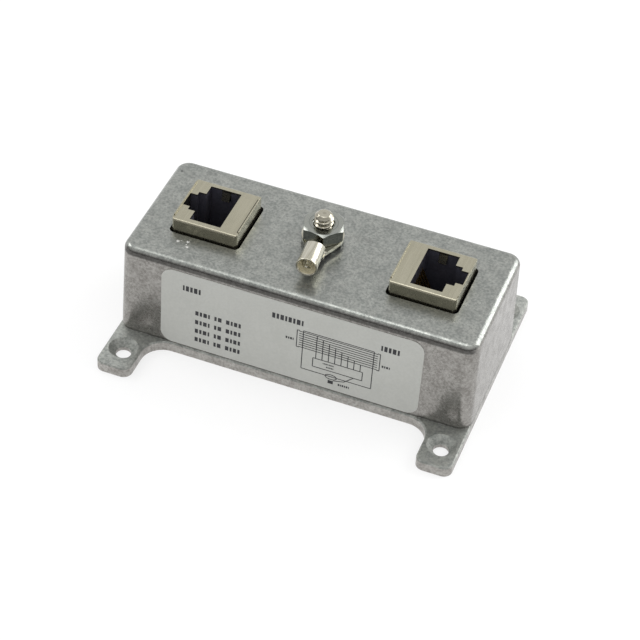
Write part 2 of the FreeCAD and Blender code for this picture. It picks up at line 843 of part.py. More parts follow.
def main():
    os.makedirs("parts", exist_ok=True)
    pieces = {
        "housing": make_housing(),
        "base_plate": make_base_plate(),
        "base_screws": make_base_screws(),
        "label": make_label(),
        "circuit_board": make_circuit_board(),
        "board_screws": make_board_screws(),
        "ground_stud": make_ground_stud(),
        "ground_strap": make_ground_strap(),
        "lock_washer": make_lock_washer(),
        "ring_terminal": make_ring_terminal(),
        "ground_nut": make_ground_nut(),
    }
    for side, name in ((-1, "left"), (1, "right")):
        pieces[name + "_jack_shield"] = make_shield(side)
        pieces[name + "_jack_insulator"] = make_insulator(side)
        pieces[name + "_contact_carrier"] = make_carrier(side)
        for index in range(contact_count):
            pieces[name + "_contact_" + str(index + 1)] = make_contact(side, index)
    for index in range(tube_count):
        pieces["gas_tube_" + str(index + 1)] = make_gas_tube(index)
    for index in range(diode_count):
        pieces["clamp_diode_" + str(index + 1)] = make_diode(index)
    for name, shape in pieces.items():
        shape.exportStep("parts/" + name + ".step")


main()
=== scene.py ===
"""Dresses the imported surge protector: a die-cast box with two sockets and a ground post.

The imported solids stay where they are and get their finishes. The threaded stud, the nut,
the screws, the print on the label and the marks of casting are surfaces worked out here.
All lengths are metres, except where a docstring says millimetres.
"""

import json
import logging
import math
from dataclasses import dataclass, field
from enum import Enum

import bmesh
import bpy
import numpy as np
from bpy.types import (ID, Material, Mesh, Node, NodeInputs, NodeOutputs,
                       NodeSocket as Socket, NodeTree, Object)
from mathutils import Matrix, Vector

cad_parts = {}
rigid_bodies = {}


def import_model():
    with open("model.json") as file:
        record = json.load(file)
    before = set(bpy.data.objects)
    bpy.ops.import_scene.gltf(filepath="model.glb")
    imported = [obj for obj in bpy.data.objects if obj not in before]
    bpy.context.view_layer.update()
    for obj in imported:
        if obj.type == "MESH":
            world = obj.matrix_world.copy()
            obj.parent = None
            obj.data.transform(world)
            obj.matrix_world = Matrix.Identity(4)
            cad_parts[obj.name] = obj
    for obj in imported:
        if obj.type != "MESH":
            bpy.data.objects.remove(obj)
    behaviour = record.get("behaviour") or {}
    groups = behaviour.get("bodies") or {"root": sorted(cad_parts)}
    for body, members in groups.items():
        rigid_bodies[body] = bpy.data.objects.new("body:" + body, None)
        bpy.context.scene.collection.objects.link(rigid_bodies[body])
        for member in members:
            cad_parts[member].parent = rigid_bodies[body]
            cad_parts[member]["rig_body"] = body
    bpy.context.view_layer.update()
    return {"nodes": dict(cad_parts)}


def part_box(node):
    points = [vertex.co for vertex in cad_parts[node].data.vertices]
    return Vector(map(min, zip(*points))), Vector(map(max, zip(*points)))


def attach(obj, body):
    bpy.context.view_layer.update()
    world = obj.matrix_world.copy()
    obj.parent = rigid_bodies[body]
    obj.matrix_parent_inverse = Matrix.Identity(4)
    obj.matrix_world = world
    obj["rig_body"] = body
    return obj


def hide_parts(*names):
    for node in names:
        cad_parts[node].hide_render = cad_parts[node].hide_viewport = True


MM = 0.001
POLE = 0.0001 * MM
TERMINAL_TURN = math.radians(4.8)
WHITE = (1.0, 1.0, 1.0)
Array = np.ndarray
Colour = tuple[float, float, float]
Point = tuple[float, float, float]
Mark = tuple[float, float, float, float]
Span = tuple[float, float]
Surface = tuple[Array, Array]
log = logging.getLogger("surge_protector")


def linear(*display: int) -> Colour:
    """Turns a display colour into the linear values of a shader.

    Args:
        *display: red, green and blue from 0 to 255.

    Returns:
        The three linear values.
    """
    parts = np.array(display) / 255.0
    low = parts / 12.92
    high = ((parts + 0.055) / 1.055) ** 2.4
    return tuple(np.where(parts <= 0.04045, low, high).tolist())


def dimmed(colour: Colour, share: float) -> Colour:
    """A colour at a share of its brightness."""
    return tuple(share * part for part in colour)


# Meshes

def turns(count: int) -> Array:
    """Evenly spaced angles round a circle."""
    return np.arange(count) * 2 * math.pi / count


def packed_box(name: str) -> tuple[Array, Array, Array]:
    """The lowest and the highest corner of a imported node, and its middle."""
    low, high = (np.array(corner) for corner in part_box(name))
    return low, high, (low + high) / 2


def read(items: object, key: str, width: int = 1, kind: type = int) -> Array:
    """Reads one property of all the elements of a mesh.

    Args:
        items: the vertices, edges, loops or faces.
        key: name of the property.
        width: how many numbers it has.
        kind: type of the numbers.

    Returns:
        A row for each element, or one number for each where the width is 1.
    """
    values = np.zeros(len(items) * width, kind)
    items.foreach_get(key, values)
    return values if width == 1 else values.reshape(-1, width)


def lathe(radii: Array, heights: Array, centre: Point, columns: int) -> Surface:
    """A turned surface: each row is a circle of a radius at a height.

    The point at turn t of row i is centre + (r(i) cos t, r(i) sin t, h(i)). A radius or a
    height is one number a row, or one a point where the surface isn't round. A quad joins
    two neighbours of a row to the two beyond them, and the last column to the first.

    Args:
        radii: radius of each row, or of each point.
        heights: height of each row, or of each point.
        centre: middle of the surface.
        columns: points round each row.

    Returns:
        The points and the quads.
    """
    rows = len(radii)
    r, h = (np.broadcast_to(np.reshape(part, (rows, -1)), (rows, columns))
            for part in (radii, heights))
    turn = turns(columns)
    points = np.stack([r * np.cos(turn), r * np.sin(turn), h], axis=-1).reshape(-1, 3)
    here = np.arange((rows - 1) * columns).reshape(-1, columns)
    beside = np.roll(here, -1, axis=1)
    quads = np.stack([here, beside, beside + columns, here + columns], axis=-1)
    return points + np.asarray(centre), quads.reshape(-1, 4)


def joined(parts: list[Surface]) -> Surface:
    """Puts several surfaces into one.

    Args:
        parts: the points and quads of each surface.

    Returns:
        All the points, and the quads renumbered to match.
    """
    starts = np.cumsum([0] + [len(points) for points, _ in parts[:-1]])
    points = np.concatenate([points for points, _ in parts])
    faces = np.concatenate([faces + start for (_, faces), start in zip(parts, starts)])
    return points, faces


def linked(name: str, data: ID) -> Object:
    """Makes an object of a mesh, a lamp or a camera and puts it in the scene."""
    made = bpy.data.objects.new(name, data)
    bpy.context.scene.collection.objects.link(made)
    return made


def make_object(name: str, points: Array, faces: Array, sharp_degrees: float = 35.0,
                merge: float = 0.0, flatten: bool = False) -> Object:
    """Makes a smooth-shaded object from points and faces, with its sharp edges kept.

    Args:
        name: name of the object and its mesh.
        points: one row of x, y, z a point.
        faces: point numbers of each face.
        sharp_degrees: edges that turn by more than this stay sharp.
        merge: points closer than this become one.
        flatten: whether neighbouring faces in one plane become one, after the merge.

    Returns:
        The object, at the origin.
    """
    mesh = bpy.data.meshes.new(name)
    mesh.from_pydata(points, [], faces)
    if merge:
        shape = bmesh.new()
        shape.from_mesh(mesh)
        bmesh.ops.remove_doubles(shape, verts=shape.verts, dist=merge)
        if flatten:
            bmesh.ops.dissolve_limit(shape, angle_limit=math.radians(0.5),
                                     verts=shape.verts, edges=shape.edges)
        shape.to_mesh(mesh)
        shape.free()
    mesh.update()
    mesh.shade_smooth()
    mesh.set_sharp_from_angle(angle=math.radians(sharp_degrees))
    return linked(name, mesh)


# Shader nodes

class Wiring:
    """A node tree under construction: adds nodes and joins their sockets."""

    def __init__(self, tree: NodeTree) -> None:
        """Keeps the tree that is wired."""
        self.tree = tree

    def node(self, kind: str, feeds: dict | None = None, **settings) -> Node:
        """Adds a node.

        Args:
            kind: type name of the node.
            feeds: what goes into its inputs, a socket or a constant for each name or number.
            **settings: its own properties.

        Returns:
            The node.
        """
        made = self.tree.nodes.new(kind)
        for name, value in settings.items():
            setattr(made, name, value)
        for key, value in (feeds or {}).items():
            self.feed(made.inputs[key], value)
        return made

    def feed(self, socket: Socket, value: object) -> None:
        """Links a socket to another one, or sets its constant."""
        if isinstance(value, Socket):
            self.tree.links.new(value, socket)
        elif isinstance(value, tuple) and len(value) == 3 and len(socket.default_value) == 4:
            socket.default_value = (*value, 1.0)
        else:
            socket.default_value = value

    def group(self, tree: NodeTree, feeds: dict) -> NodeOutputs:
        """Places a shared group and gives its outputs."""
        return self.node("ShaderNodeGroup", feeds, node_tree=tree).outputs

    def noise(self, vector: object, scale: object, detail: float, rough: float) -> Socket:
        """A noise from 0 to 1 over a coordinate; scale is in cells a metre."""
        feeds = {"Vector": vector, "Scale": scale, "Detail": detail, "Roughness": rough}
        return self.node("ShaderNodeTexNoise", feeds).outputs["Fac"]

    def span(self, value: object, low: object, high: object,
             to_low: object = 0.0, to_high: object = 1.0) -> Socket:
        """A value mapped smoothly from one range to another and kept inside it."""
        feeds = {"Value": value, "From Min": low, "From Max": high,
                 "To Min": to_low, "To Max": to_high}
        made = self.node("ShaderNodeMapRange", feeds, interpolation_type="SMOOTHSTEP")
        return made.outputs["Result"]

    def window(self, value: object, rise: Span, fall: Span) -> Socket:
        """A mask that is 1 from the end of a rise to the start of a fall."""
        return self.times(self.span(value, *rise), self.span(value, *fall, 1.0, 0.0))

    def maths(self, operation: str, first: object, second: object = 0.0) -> Socket:
        """One sum on two values."""
        return self.node("ShaderNodeMath", {0: first, 1: second}, operation=operation).outputs[0]

    def times(self, first: object, *others: object) -> Socket:
        """The product of values."""
        for other in others:
            first = self.maths("MULTIPLY", first, other)
        return first

    def vectors(self, operation: str, feeds: dict, output: str = "Vector") -> Socket:
        """One sum on coordinates or colours."""
        return self.node("ShaderNodeVectorMath", feeds, operation=operation).outputs[output]

    def blend(self, share: object, first: object, second: object, kind: str = "RGBA") -> Socket:
        """A colour between two others, or a FLOAT one, by a share from 0 to 1."""
        start, end = {"RGBA": (6, 2), "FLOAT": (2, 0)}[kind]
        feeds = {0: share, start: first, start + 1: second}
        return self.node("ShaderNodeMix", feeds, data_type=kind).outputs[end]

    def axis(self, vector: object, name: str) -> Socket:
        """One of the X, Y and Z values of a coordinate."""
        return self.node("ShaderNodeSeparateXYZ", {0: vector}).outputs[name]

    def turned(self, vector: object, centre: Point) -> Socket:
        """A coordinate that only changes with the distance from an upright axis and along it."""
        shift = {"Vector": vector, "Location": tuple(-value for value in centre)}
        about = self.node("ShaderNodeMapping", shift).outputs[0]
        flat = self.vectors("MULTIPLY", {0: about, 1: (1.0, 1.0, 0.0)})
        feeds = {0: self.vectors("LENGTH", {0: flat}, "Value"), 2: self.axis(about, "Z")}
        return self.node("ShaderNodeCombineXYZ", feeds).outputs[0]


def start_material(name: str) -> tuple[Material, Wiring, Node]:
    """A new material, its wiring and its Principled shader."""
    material = bpy.data.materials.new(name)
    material.use_nodes = True
    return material, Wiring(material.node_tree), material.node_tree.nodes["Principled BSDF"]


SOCKET_KINDS = {"Vector": "NodeSocketVector", "Tone": "NodeSocketColor", "Color": "NodeSocketColor"}


def start_group(name: str, inputs: dict[str, float | None],
                outputs: list[str]) -> tuple[Wiring, NodeOutputs, NodeInputs]:
    """Makes an empty shader group with named inputs and outputs.

    Args:
        name: name of the group.
        inputs: the default of each input; the last word of a name says its type.
        outputs: names of the outputs.

    Returns:
        The wiring of the group, what comes into it, and what goes out.
    """
    tree = bpy.data.node_groups.new(name, "ShaderNodeTree")
    for way, labels in (("INPUT", inputs), ("OUTPUT", outputs)):
        for label in labels:
            kind = SOCKET_KINDS.get(label.split()[-1], "NodeSocketFloat")
            made = tree.interface.new_socket(name=label, in_out=way, socket_type=kind)
            if way == "INPUT" and kind == "NodeSocketFloat":
                made.default_value = inputs[label]
    w = Wiring(tree)
    return w, w.node("NodeGroupInput").outputs, w.node("NodeGroupOutput").inputs


def build_skin(name: str, layers: dict[str, Mark], contrast: Span) -> NodeTree:
    """Builds a skin of one or more layers of noise.

    The sum of the layers moves the colour between two tones and is the height of the
    skin. The last layer alone moves the roughness between two values.

    Args:
        name: name of the group.
        layers: scale, detail, roughness and share of each, by the input that scales it.
        contrast: the sums that give the dark tone and the light one.

    Returns:
        The node group.
    """
    inputs = {"Vector": None, "Light Tone": None, "Dark Tone": None, "Smooth": 0.3, "Rough": 0.5}
    inputs |= {label: values[0] for label, values in layers.items()}
    w, given, out = start_group(name, inputs, ["Color", "Roughness", "Height"])
    total = 0.0
    for label, (_, detail, rough, share) in layers.items():
        layer = w.noise(given["Vector"], given[label], detail, rough)
        total = w.maths("ADD", w.times(layer, share), total)
    tone = w.span(total, *contrast)
    w.feed(out["Color"], w.blend(tone, given["Dark Tone"], given["Light Tone"]))
    w.feed(out["Roughness"], w.span(layer, 0.3, 0.7, given["Rough"], given["Smooth"]))
    w.feed(out["Height"], total)
    return w.tree


def build_cast_skin() -> NodeTree:
    """Builds the skin of as-cast and moulded surfaces: fine grain and broad patches."""
    layers = {"Grain Scale": (900.0, 3.0, 0.6, 0.62), "Patch Scale": (120.0, 4.0, 0.62, 0.38)}
    return build_skin("cast_skin", layers, (0.34, 0.66))


def build_fine_lines() -> NodeTree:
    """Builds the lines of rolled or turned metal, along which the coordinate is drawn out."""
    return build_skin("fine_lines", {"Line Scale": (3000.0, 4.0, 0.65, 1.0)}, (0.32, 0.68))


def build_soiling() -> NodeTree:
    """Builds a thin uneven film of handling marks, a mask from 0 to its strength.

    Returns:
        The node group.
    """
    inputs = {"Vector": None, "Spot Scale": 200.0, "Strength": 0.3}
    w, given, out = start_group("soiling", inputs, ["Mask"])
    spots = w.noise(given["Vector"], given["Spot Scale"], 5.0, 0.7)
    w.feed(out["Mask"], w.times(w.span(spots, 0.48, 0.72), given["Strength"]))
    return w.tree


@dataclass(frozen=True)
class Workshop:
    """The shared shader groups, built once."""

    skin: NodeTree = field(default_factory=build_cast_skin)
    lines: NodeTree = field(default_factory=build_fine_lines)
    soiling: NodeTree = field(default_factory=build_soiling)


class Grain(Enum):
    """How the lines of a drawn or machined surface run."""

    ALONG_X = (0.04, 1.0, 1.0)
    ALONG_Y = (1.0, 0.04, 1.0)
    ALONG_Z = (1.0, 1.0, 0.04)
    CROSSED = (0.5, 0.5, 0.5)
    TURNED = (1.0, 1.0, 0.3)


class Finish:
    """A look that makes a material of itself. Each kind of finish wires it in its own way."""

    def build(self, name: str, shop: Workshop) -> Material:
        """Makes the material.

        Args:
            name: name of the material.
            shop: the shared groups.

        Returns:
            The material. A full bump raises its surface by a tenth of a millimetre.
        """
        material, w, shader = start_material(name)
        place = w.node("ShaderNodeTexCoord").outputs["Object"]
        feeds = {"Vector": place, "Smooth": self.smooth, "Rough": self.rough}
        colour, roughness, height = self.wire(w, feeds, shop)
        w.feed(shader.inputs["Base Color"], colour)
        w.feed(shader.inputs["Roughness"], roughness)
        shader.inputs["Metallic"].default_value = self.metallic
        bump = {"Height": height, "Strength": self.bump, "Distance": 0.1 * MM}
        w.feed(shader.inputs["Normal"], w.node("ShaderNodeBump", bump).outputs["Normal"])
        return material


@dataclass(frozen=True)
class CastFinish(Finish):
    """As-cast metal: mottled, with walls of a warmer tone than the top and a lighter foot.

    The foot is lightened as painted light, the crease above it is darkened as painted shade,
    and a band under the front top edge is darkened as a painted reflection of a dark room.
    A facing is a part of the surface's normal: along Y for the painted reflection band, else
    upwards.
    """

    top_light: Colour
    top_dark: Colour
    wall_light: Colour
    wall_dark: Colour
    grain_scale: float
    patch_scale: float
    smooth: float
    rough: float
    bump: float = 0.1
    metallic: float = 1.0
    top_facing: Span = (0.35, 0.8)
    wall_share: float = 0.8
    foot_top: Span = (2.45 * MM, 2.6 * MM)
    # painted light: a gain that lightens the foot and the ears, for the soft light falling on them
    foot_painted_light: float = 1.3
    foot_rough: float = 1.3
    # painted shade: a dark line in the crease where the wall meets the foot
    crease_shade: float = 0.6
    crease_height: float = 2.65 * MM
    crease_reach: Span = (0.08 * MM, 0.42 * MM)
    crease_facing: Span = (0.1, 0.5)
    crease_shade_tone: float = 0.25
    edge_facing: tuple[Span, Span] = ((0.2, 0.45), (0.86, 0.97))
    edge_rise: Span = (20.0 * MM, 22.0 * MM)
    edge_polish: float = 0.72
    edge_bump: float = 0.35
    foot_edge_rough: float = 1.7
    # painted reflection: a dark band on the lower half of the front top edge, for the dark room it
    # reflects
    dark_reflection_band: float = 0.72
    band_rise: Span = (23.2 * MM, 23.8 * MM)
    band_fall: Span = (24.3 * MM, 24.8 * MM)
    band_facing: Span = (-0.8, -0.4)
    dark_reflection_tone: float = 0.06
    marks: float = 0.16
    marks_scale: float = 260.0
    pit: Point = (-37.9 * MM, 11.9 * MM, 25.4 * MM)
    pit_reach: Span = (0.168 * MM, 0.42 * MM)
    pit_share: float = 0.8
    pit_tone: float = 0.3
    pit_depth: float = 1.6

    def wire(self, w: Wiring, feeds: dict, shop: Workshop) -> tuple[Socket, Socket, Socket]:
        """Wires the tones, the painted light on the foot, the painted shade in its crease, the
        painted dark reflection band under the front top edge, the marks and the pit.

        Args:
            w: wiring of the material.
            feeds: the coordinate and the two ends of the roughness, for a skin.
            shop: the shared groups.

        Returns:
            The colour, the roughness and the height.
        """
        place = feeds["Vector"]
        feeds |= {"Grain Scale": self.grain_scale, "Patch Scale": self.patch_scale}
        tones = ((self.top_light, self.top_dark), (self.wall_light, self.wall_dark))
        top, wall = (w.group(shop.skin, feeds | {"Light Tone": light, "Dark Tone": dark})
                     for light, dark in tones)
        height = w.axis(place, "Z")
        normal = w.node("ShaderNodeNewGeometry").outputs["Normal"]
        facing = w.axis(normal, "Z")
        on_top = w.span(facing, *self.top_facing)
        colour = w.blend(on_top, wall["Color"], top["Color"])
        # painted light: the foot and the ears are made lighter, for the soft light falling on them
        painted_foot_light = w.span(height, *self.foot_top, self.foot_painted_light, 1.0)
        colour = w.vectors("SCALE", {0: colour, "Scale": painted_foot_light})
        # painted shade: darkens the crease where the wall meets the foot, as shade would
        above = w.maths("ABSOLUTE", w.maths("SUBTRACT", height, self.crease_height))
        crease_shade = w.times(w.span(above, *self.crease_reach, self.crease_shade, 0.0),
                         w.span(facing, *self.crease_facing, 1.0, 0.0))
        colour = w.blend(crease_shade, colour, dimmed(self.top_dark, self.crease_shade_tone))
        # painted reflection: the lower half of the front top edge is darkened, as if reflecting a
        # dark room
        dark_reflection_band = w.times(w.window(height, self.band_rise, self.band_fall),
                       w.span(w.axis(normal, "Y"), *self.band_facing, self.dark_reflection_band, 0.0))
        colour = w.blend(dark_reflection_band, colour, dimmed(self.top_dark, self.dark_reflection_tone))
        spots = {"Vector": place, "Spot Scale": self.marks_scale, "Strength": self.marks}
        colour = w.blend(w.group(shop.soiling, spots)["Mask"], colour, self.wall_dark)
        away = w.vectors("DISTANCE", {0: place, 1: self.pit}, "Value")
        pitted = w.span(away, *self.pit_reach, self.pit_share, 0.0)
        colour = w.blend(pitted, colour, dimmed(self.top_dark, self.pit_tone))
        rounded = w.window(facing, *self.edge_facing)
        polish = w.span(height, *self.edge_rise, self.foot_edge_rough, self.edge_polish)
        share = w.times(w.span(on_top, 0.0, 1.0, self.wall_share, 1.0),
                        w.span(height, *self.foot_top, self.foot_rough, 1.0),
                        w.span(rounded, 0.0, 1.0, 1.0, polish))
        worn = w.times(top["Height"], w.span(rounded, 0.0, 1.0, 1.0, self.edge_bump))
        sunk = w.maths("SUBTRACT", worn, w.times(pitted, self.pit_depth))
        return colour, w.times(top["Roughness"], share), sunk


@dataclass(frozen=True)
class DrawnFinish(Finish):
    """Rolled, plated or turned metal with fine lines and faint handling marks."""

    light: Colour
    dark: Colour
    smooth: float
    rough: float
    grain: Grain
    line_scale: float = 3500.0
    metallic: float = 1.0
    bump: float = 0.02
    marks: float = 0.12
    marks_scale: float = 420.0
    marks_tone: float = 0.6
    centre: Point = (-1.2 * MM, 2.7 * MM, 0.0)

    def wire(self, w: Wiring, feeds: dict, shop: Workshop) -> tuple[Socket, Socket, Socket]:
        """Wires the lines, drawn out along the grain, and the marks.

        Args:
            w: wiring of the material.
            feeds: the coordinate and the two ends of the roughness, for a skin.
            shop: the shared groups.

        Returns:
            The colour, the roughness and the height.
        """
        place = feeds["Vector"]
        lined = w.turned(place, self.centre) if self.grain is Grain.TURNED else place
        drawn = w.vectors("MULTIPLY", {0: lined, 1: self.grain.value})
        lines = w.group(shop.lines, feeds | {
            "Vector": drawn, "Light Tone": self.light, "Dark Tone": self.dark,
            "Line Scale": self.line_scale})
        spots = {"Vector": place, "Spot Scale": self.marks_scale, "Strength": self.marks}
        marks = w.group(shop.soiling, spots)["Mask"]
        colour = w.blend(marks, lines["Color"], dimmed(self.dark, self.marks_tone))
        return colour, lines["Roughness"], lines["Height"]


@dataclass(frozen=True)
class MouldedFinish(Finish):
    """A moulded, coated or printed surface that isn't metal."""

    light: Colour
    dark: Colour
    smooth: float
    rough: float
    grain_scale: float = 2500.0
    patch_scale: float = 300.0
    bump: float = 0.04
    metallic: float = 0.0

    def wire(self, w: Wiring, feeds: dict, shop: Workshop) -> tuple[Socket, Socket, Socket]:
        """Wires the skin.

        Args:
            w: wiring of the material.
            feeds: the coordinate and the two ends of the roughness, for a skin.
            shop: the shared groups.

        Returns:
            The colour, the roughness and the height.
        """
        skin = w.group(shop.skin, feeds | {
            "Light Tone": self.light, "Dark Tone": self.dark,
            "Grain Scale": self.grain_scale, "Patch Scale": self.patch_scale})
        return skin["Color"], skin["Roughness"], skin["Height"]


FINISHES: dict[str, Finish] = {
    "cast_aluminium": CastFinish(
        linear(162, 164, 159), linear(123, 126, 123), linear(162, 160, 156),
        linear(125, 122, 118), 1900.0, 420.0, 0.26, 0.36, 0.4, 0.85),
    "plate_aluminium": DrawnFinish(
        linear(196, 196, 194), linear(172, 172, 170), 0.28, 0.42, Grain.ALONG_X),
    "zinc_steel": DrawnFinish(
        linear(158, 160, 154), linear(126, 129, 124), 0.14, 0.26, Grain.TURNED, 5200.0),
    "nickel_steel": DrawnFinish(
        linear(188, 184, 170), linear(144, 140, 126), 0.1, 0.2, Grain.TURNED, 4200.0),
    "shield_nickel": DrawnFinish(
        linear(171, 167, 149), linear(161, 157, 139), 0.22, 0.3, Grain.ALONG_Y, 1800.0),
    "tinned_copper": DrawnFinish(
        linear(196, 193, 180), linear(168, 164, 148), 0.12, 0.24, Grain.ALONG_Y, 1500.0),
    "black_moulding": MouldedFinish(linear(66, 66, 76), linear(50, 50, 60), 0.42, 0.6),
    "gold_plate": DrawnFinish(
        linear(226, 190, 112), linear(196, 158, 84), 0.18, 0.3, Grain.ALONG_Z),
    "label_film": MouldedFinish(
        linear(180, 181, 176), linear(174, 175, 170), 0.42, 0.5, 1800.0, 160.0, 0.01),
    "board_laminate": MouldedFinish(
        linear(44, 112, 66), linear(30, 88, 50), 0.25, 0.4, 3500.0, 220.0),
    "tube_ceramic": MouldedFinish(
        linear(236, 232, 222), linear(218, 213, 202), 0.15, 0.28, 1500.0, 400.0),
    "diode_moulding": MouldedFinish(linear(36, 36, 38), linear(24, 24, 26), 0.5, 0.65),
    "barrel_bore": DrawnFinish(
        linear(232, 226, 200), linear(196, 188, 160), 0.3, 0.45, Grain.CROSSED, 2600.0, 0.45),
    "bright_speck": MouldedFinish(linear(204, 204, 200), linear(176, 176, 171), 0.4, 0.55),
    "label_ink": MouldedFinish(
        linear(40, 40, 44), linear(28, 28, 32), 0.45, 0.6, 2600.0, 500.0, 0.01),
}


@dataclass
class Dressing:
    """Hands out the finished materials, each made once."""

    shop: Workshop = field(default_factory=Workshop)
    made: dict[str, Material] = field(default_factory=dict)

    def material(self, slot: str) -> Material:
        """The material of a slot, made when it is first asked for."""
        if slot not in self.made:
            self.made[slot] = FINISHES[slot].build(slot + "_finish", self.shop)
        return self.made[slot]

    def dress(self, piece: Object, slot: str, body: str, finish: str = "",
              stands_for: str = "") -> None:
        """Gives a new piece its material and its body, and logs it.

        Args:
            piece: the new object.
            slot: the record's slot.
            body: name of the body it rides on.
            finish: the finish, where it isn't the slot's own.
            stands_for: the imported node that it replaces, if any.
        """
        piece.data.materials.append(self.material(finish or slot))
        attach(piece, body)
        if stands_for:
            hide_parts(stands_for)
        log.info("%s: %d faces", piece.name, len(piece.data.polygons))


# Pieces

@dataclass
class PackedSolids:
    """The solids as packed: all get their finish, and some a copy with broken edges."""

    nodes: dict[str, Object]
    broken_edges: dict[str, float] = field(default_factory=lambda: {
        "housing": 0.1 * MM, "ring_terminal": 0.0, "left_jack_shield": 0.12 * MM,
        "right_jack_shield": 0.12 * MM, "lock_washer": 0.05 * MM, "base_plate": 0.12 * MM,
    })
    weld: float = 0.002 * MM
    sharp_degrees: float = 30.0
    bevel_degrees: float = 32.0
    fold_reach: Span = (0.36 * MM, 1.2 * MM)
    tight_fold: float = 0.4
    mouth_edge: float = 0.6 * MM
    mouth_set_back: float = 1.6 * MM
    ring_radius: float = 4.5 * MM
    neck_half: float = 2.05 * MM
    neck_sheet: float = 0.82 * MM
    neck_along: Span = (2.1 * MM, 6.05 * MM)
    neck_start: float = 5.145 * MM
    neck_slope: float = 0.5

    def build(self, dressing: Dressing) -> None:
        """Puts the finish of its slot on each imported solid, and breaks the edges of some."""
        for name, node in sorted(self.nodes.items()):
            slot = node.material_slots[0].material.name.split(".")[0]
            node.material_slots[0].material = dressing.material(slot)
            log.info("%s: packed solid, finish %s", name, slot)
            if name in self.broken_edges:
                piece = self.edge_broken(name, node.data, self.broken_edges[name])
                dressing.dress(piece, slot, node["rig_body"], stands_for=name)

    def edge_broken(self, name: str, source: Mesh, width: float) -> Object:
        """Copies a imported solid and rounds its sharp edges.

        The triangles are merged at their shared points and flat ones are joined, then a
        Bevel modifier rounds each edge that turns by more than its limit.

        Args:
            name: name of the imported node.
            source: its mesh.
            width: width of the broken edge, or 0 for a copy that keeps its edges.

        Returns:
            The copy.
        """
        points = read(source.vertices, "co", 3, float)
        faces = read(source.loops, "vertex_index").reshape(-1, 3)
        if name == "ring_terminal":
            points = self.neck_widened(points)
        piece = make_object(name + "_edged", points, faces, self.sharp_degrees, self.weld, True)
        if width:
            self.weigh_edges(piece.data, name.endswith("_shield"))
            bevel = piece.modifiers.new("broken_edges", "BEVEL")
            bevel.width = width
            bevel.segments = 2
            bevel.limit_method = "WEIGHT"
            bevel.use_clamp_overlap = True
            bevel.harden_normals = True
        return piece

    def neck_widened(self, points: Array) -> Array:
        """Sets the ring terminal's mouth back, and widens its neck to a straight taper.

        In the terminal's own axes the neck's sides lie where the distance across equals a
        start less a slope times the distance along, which touches the ring.

        Args:
            points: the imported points.

        Returns:
            The moved points.
        """
        middle = packed_box("ground_stud")[2][:2]
        way = np.array([math.sin(TERMINAL_TURN), -math.cos(TERMINAL_TURN)])
        side = np.array([-way[1], way[0]])
        along, across = (points[:, :2] - middle) @ way, (points[:, :2] - middle) @ side
        half = np.abs(across)
        taper = self.neck_start - self.neck_slope * along
        outer = (np.hypot(along, across) > self.ring_radius) | (half > self.neck_half)
        flat = points[:, 2] < points[:, 2].min() + self.neck_sheet
        beside = (along > self.neck_along[0]) & (along < self.neck_along[1]) & (half < taper)
        push = np.where(outer & flat & beside, np.sign(across) * (taper - half), 0.0)
        points[:, :2] += push[:, None] * side
        at_mouth = points[:, 1] < points[:, 1].min() + self.mouth_edge
        points[:, 1] += np.where(at_mouth, self.mouth_set_back, 0.0)
        return points

    def weigh_edges(self, mesh: Mesh, folds_only: bool) -> None:
        """Marks the edges to be rounded: those between faces that turn by over a limit.

        The turn at an edge is the arc cosine of the dot product of its two faces' normals.
        On a folded sheet only edges near the outer sides are marked, less so where x is
        least, and the cut edges of its opening stay crisp.

        Args:
            mesh: the mesh, with each edge shared by two faces.
            folds_only: whether the mesh is a folded sheet.
        """
        edge_of_loop = read(mesh.loops, "edge_index")
        sizes = read(mesh.polygons, "loop_total")
        owner = np.repeat(np.arange(len(sizes)), sizes)
        normals = read(mesh.polygons, "normal", 3, float)
        one, other = np.zeros((2, len(mesh.edges)), int)
        one[edge_of_loop[::-1]] = owner[::-1]
        other[edge_of_loop] = owner
        cosine = np.einsum("ij,ij->i", normals[one], normals[other])
        weights = (cosine < math.cos(math.radians(self.bevel_degrees))).astype(float)
        if folds_only:
            flat = read(mesh.vertices, "co", 3, float)[:, :2]
            ends = read(mesh.edges, "vertices", 2)
            inset = np.minimum(flat - flat.min(0), flat.max(0) - flat)
            near = (inset < np.array(self.fold_reach)).any(1)
            tight = flat[:, 0] - flat[:, 0].min() < self.fold_reach[0]
            weights *= near[ends].all(1) * np.where(tight[ends].all(1), self.tight_fold, 1.0)
        marks = mesh.attributes.new("bevel_weight_edge", "FLOAT", "EDGE")
        marks.data.foreach_set("value", weights)


